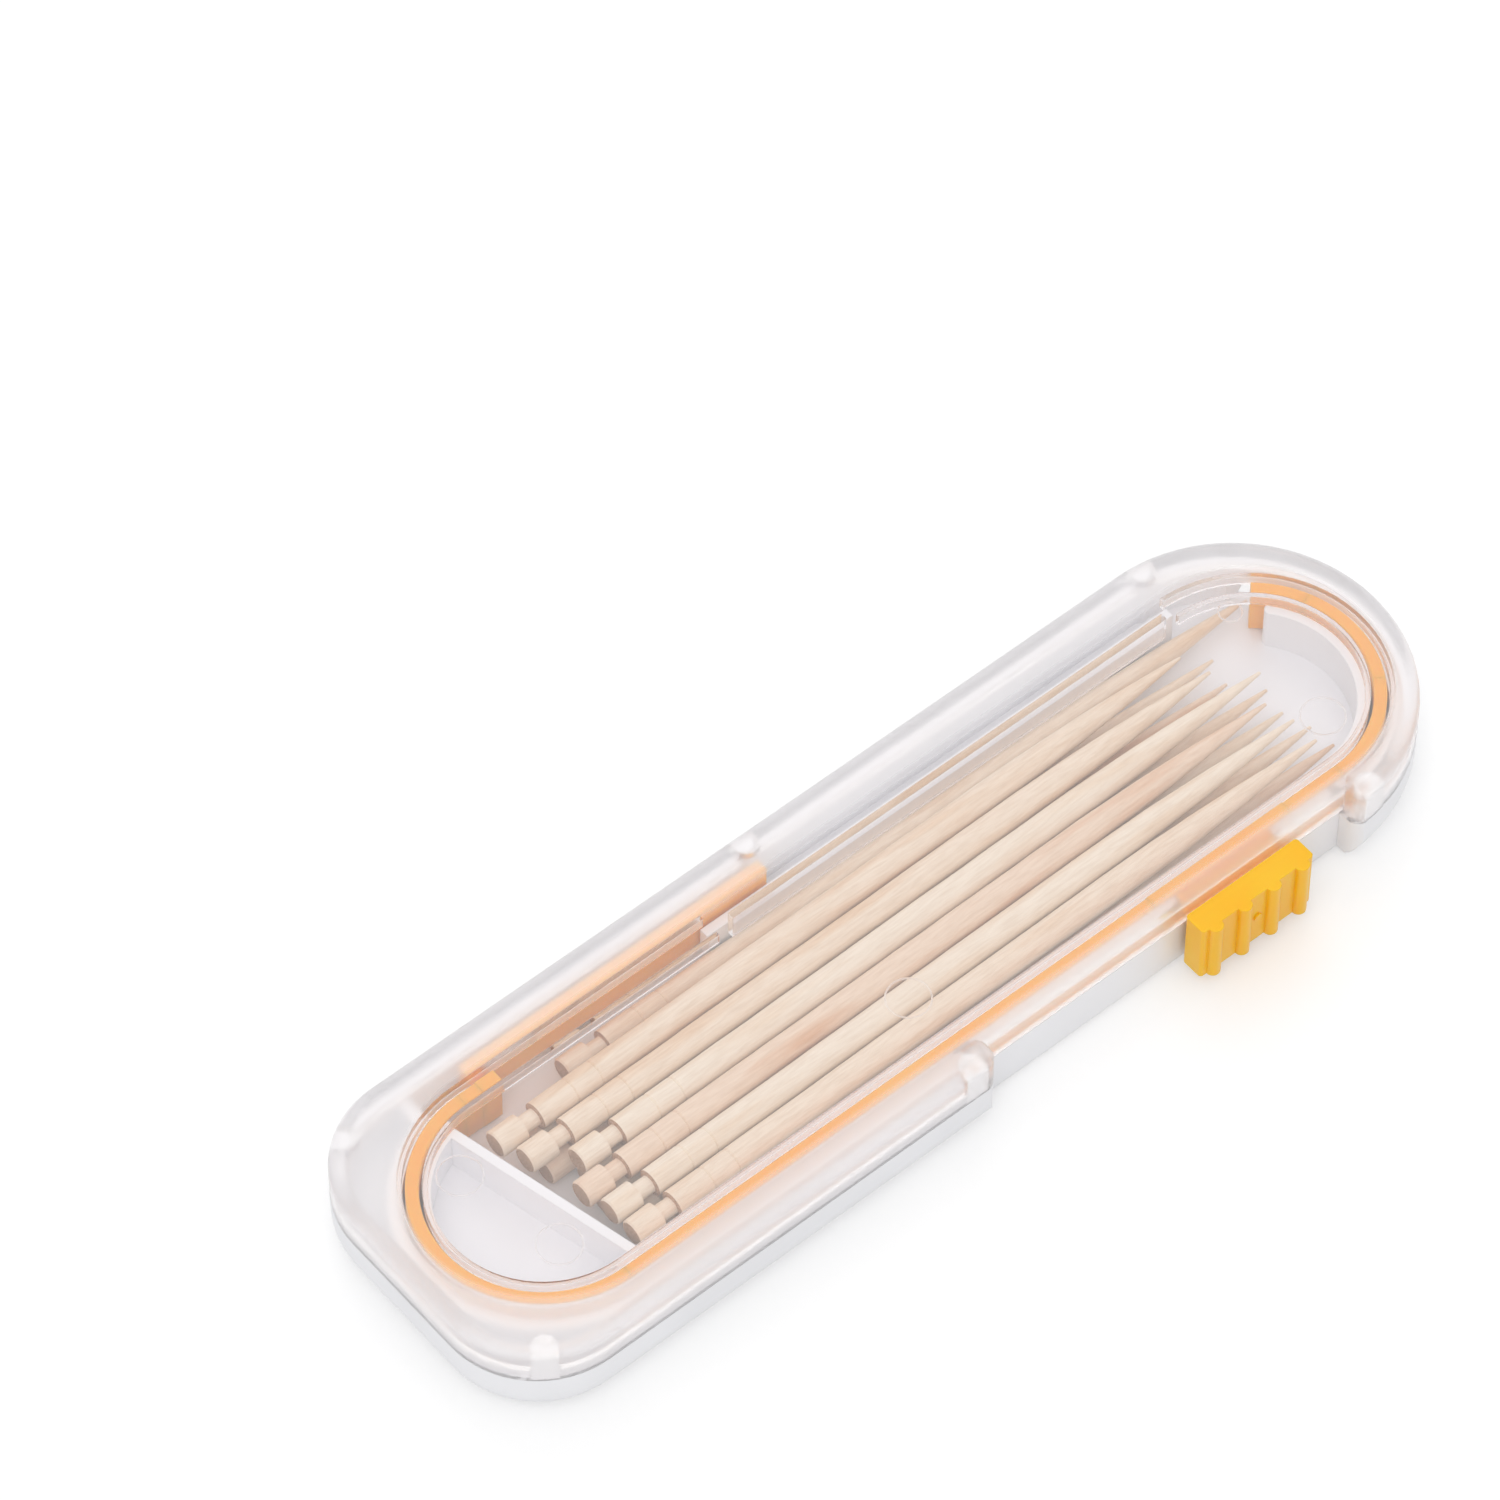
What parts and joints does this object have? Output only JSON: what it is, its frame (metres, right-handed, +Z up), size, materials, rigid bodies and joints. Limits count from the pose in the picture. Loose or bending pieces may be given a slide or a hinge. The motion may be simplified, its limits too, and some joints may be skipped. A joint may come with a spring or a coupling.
{
  "type": "toothpick dispenser",
  "caption": "Flat pocket toothpick dispenser: white back, clear clip-on cover, and a thumb slide on a flexible strip that opens the exit and pushes one toothpick out.",
  "frame": {"origin": "on the flat back face, at the middle of the case's length and width", "axes": "+X towards the round exit end, +Y away from the side with the thumb slide, +Z up towards the clear cover"},
  "size_m": [0.0924, 0.0283, 0.0085],
  "materials": {
    "white_plastic": "smooth injection-moulded white polystyrene, satin",
    "clear_plastic": "polished clear polystyrene",
    "orange_plastic": "flexible moulded polypropylene, satin",
    "pick_wood": "turned birch, bare"
  },
  "bodies": {
    "shell": {"back_shell": "white_plastic", "strip_exit_bend": "orange_plastic", "strip_front_run": "orange_plastic", "strip_rear_run": "orange_plastic", "strip_return_bend": "orange_plastic", "strip_far_run": "orange_plastic", "toothpick_02": "pick_wood", "toothpick_03": "pick_wood", "toothpick_04": "pick_wood", "toothpick_05": "pick_wood", "toothpick_06": "pick_wood", "toothpick_07": "pick_wood", "toothpick_08": "pick_wood", "toothpick_09": "pick_wood", "toothpick_10": "pick_wood", "toothpick_11": "pick_wood", "toothpick_12": "pick_wood", "toothpick_13": "pick_wood"},
    "cover": {"clear_cover": "clear_plastic"},
    "slider": {"slide_button": "orange_plastic"},
    "pusher": {"strip_pusher": "orange_plastic"},
    "shutter": {"strip_shutter": "orange_plastic"},
    "lane_pick": {"toothpick_01": "pick_wood"}
  },
  "joints": [
    {"name": "button_slide", "type": "slide", "parent": "shell", "child": "slider", "axis": [-1, 0, 0], "range_m": [0, 0.017], "deforming": ["strip_rear_run", "strip_front_run"]},
    {"name": "pusher_slide", "type": "slide", "parent": "shell", "child": "pusher", "axis": [1, 0, 0], "range_m": [0, 0.017], "deforming": ["strip_far_run"]},
    {"name": "shutter_turn", "type": "hinge", "parent": "shell", "child": "shutter", "pos_m": [0.034, -0.0004, 0.0043], "axis": [0, 0, -1], "range_deg": [0, 103.7], "deforming": ["strip_exit_bend"]},
    {"name": "pick_slide", "type": "slide", "parent": "shell", "child": "lane_pick", "axis": [1, 0, 0], "range_m": [0, 0.012]},
    {"name": "cover_lift", "type": "slide", "parent": "shell", "child": "cover", "axis": [0, 0, 1], "range_m": [0, 0.012]}
  ],
  "couplings": [
    {"joint": "pusher_slide", "follows": "button_slide", "ratio": 1},
    {"joint": "shutter_turn", "follows": "button_slide", "rad_per_m": 106.38},
    {"joint": "pick_slide", "follows": "button_slide", "ratio": 0.7}
  ]
}
